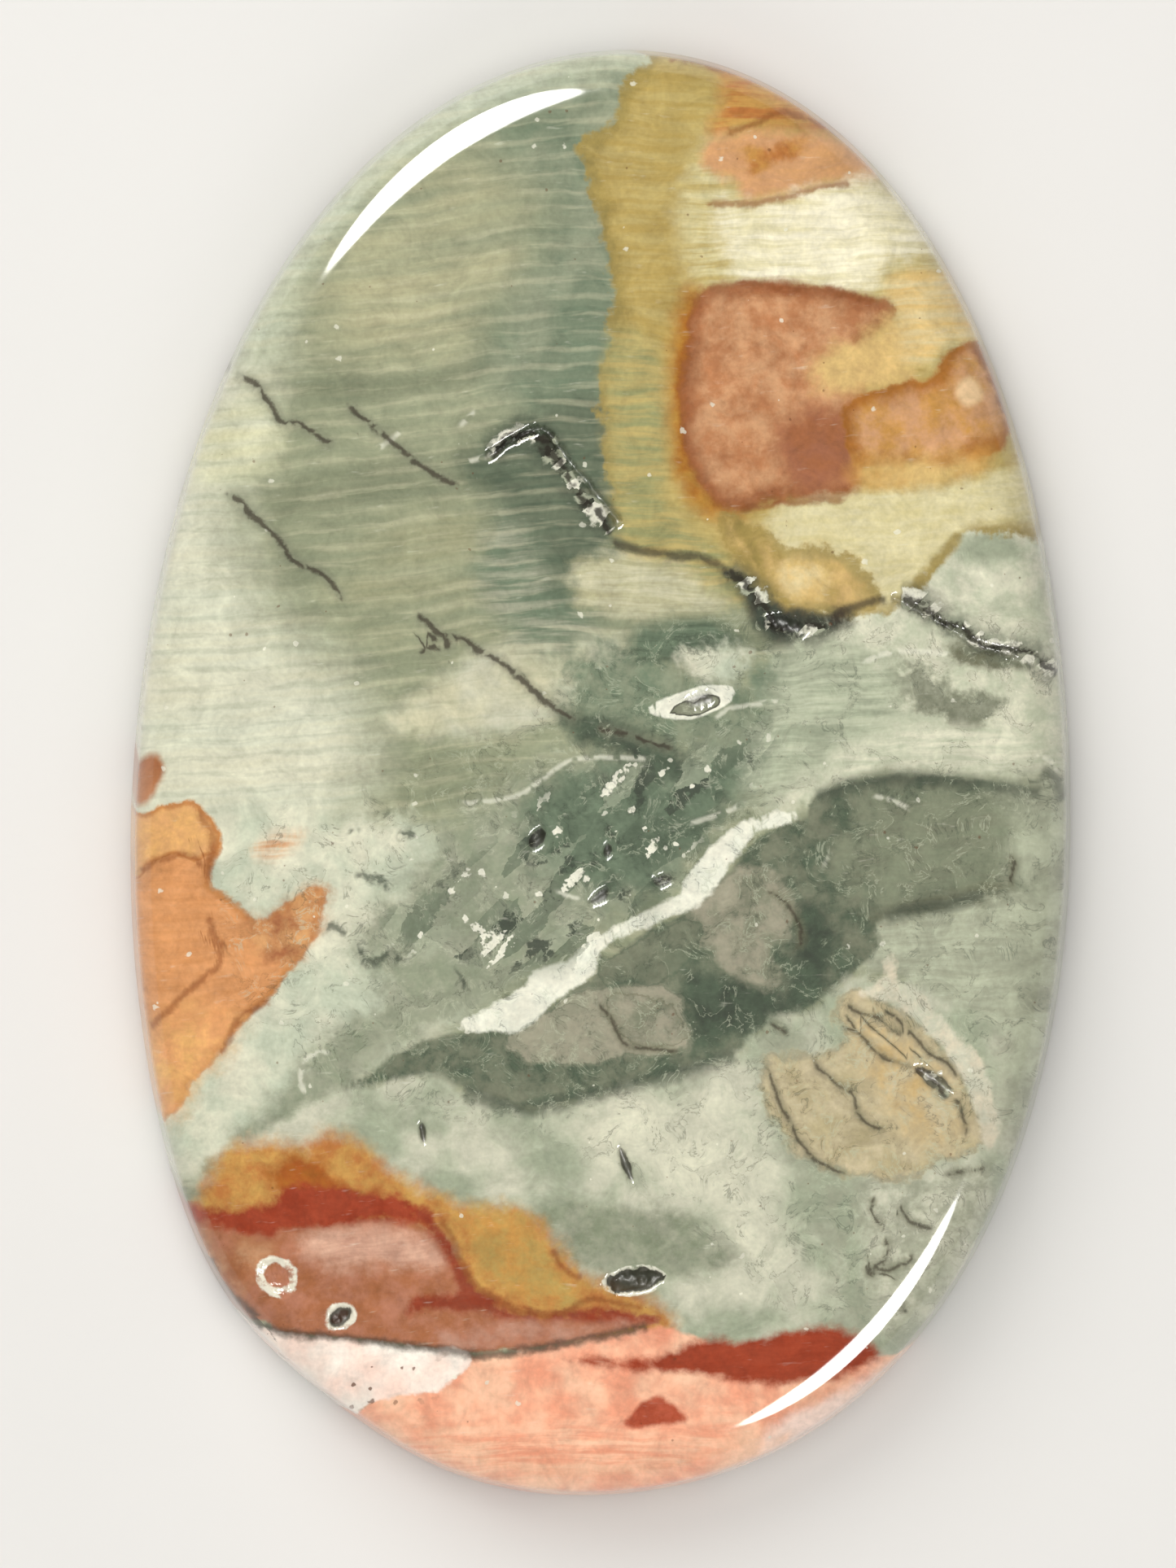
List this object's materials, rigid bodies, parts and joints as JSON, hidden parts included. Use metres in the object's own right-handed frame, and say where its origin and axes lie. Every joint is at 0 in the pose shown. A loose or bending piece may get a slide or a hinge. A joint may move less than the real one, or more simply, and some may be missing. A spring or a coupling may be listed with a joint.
{
  "type": "jasper cabochon",
  "caption": "Oval polished jasper cabochon: one piece of patterned stone with a flat back, a low domed face and a rounded shoulder, for setting in jewellery.",
  "frame": {"origin": "middle of the flat back, on the surface that the stone lies on", "axes": "+Z out of the domed face, +Y along the stone's length towards the narrower end, +X across its width"},
  "size_m": [0.0376, 0.058, 0.0061],
  "materials": {
    "polished_jasper": "high polish"
  },
  "bodies": {
    "root": {"cabochon": "polished_jasper"}
  },
  "joints": []
}
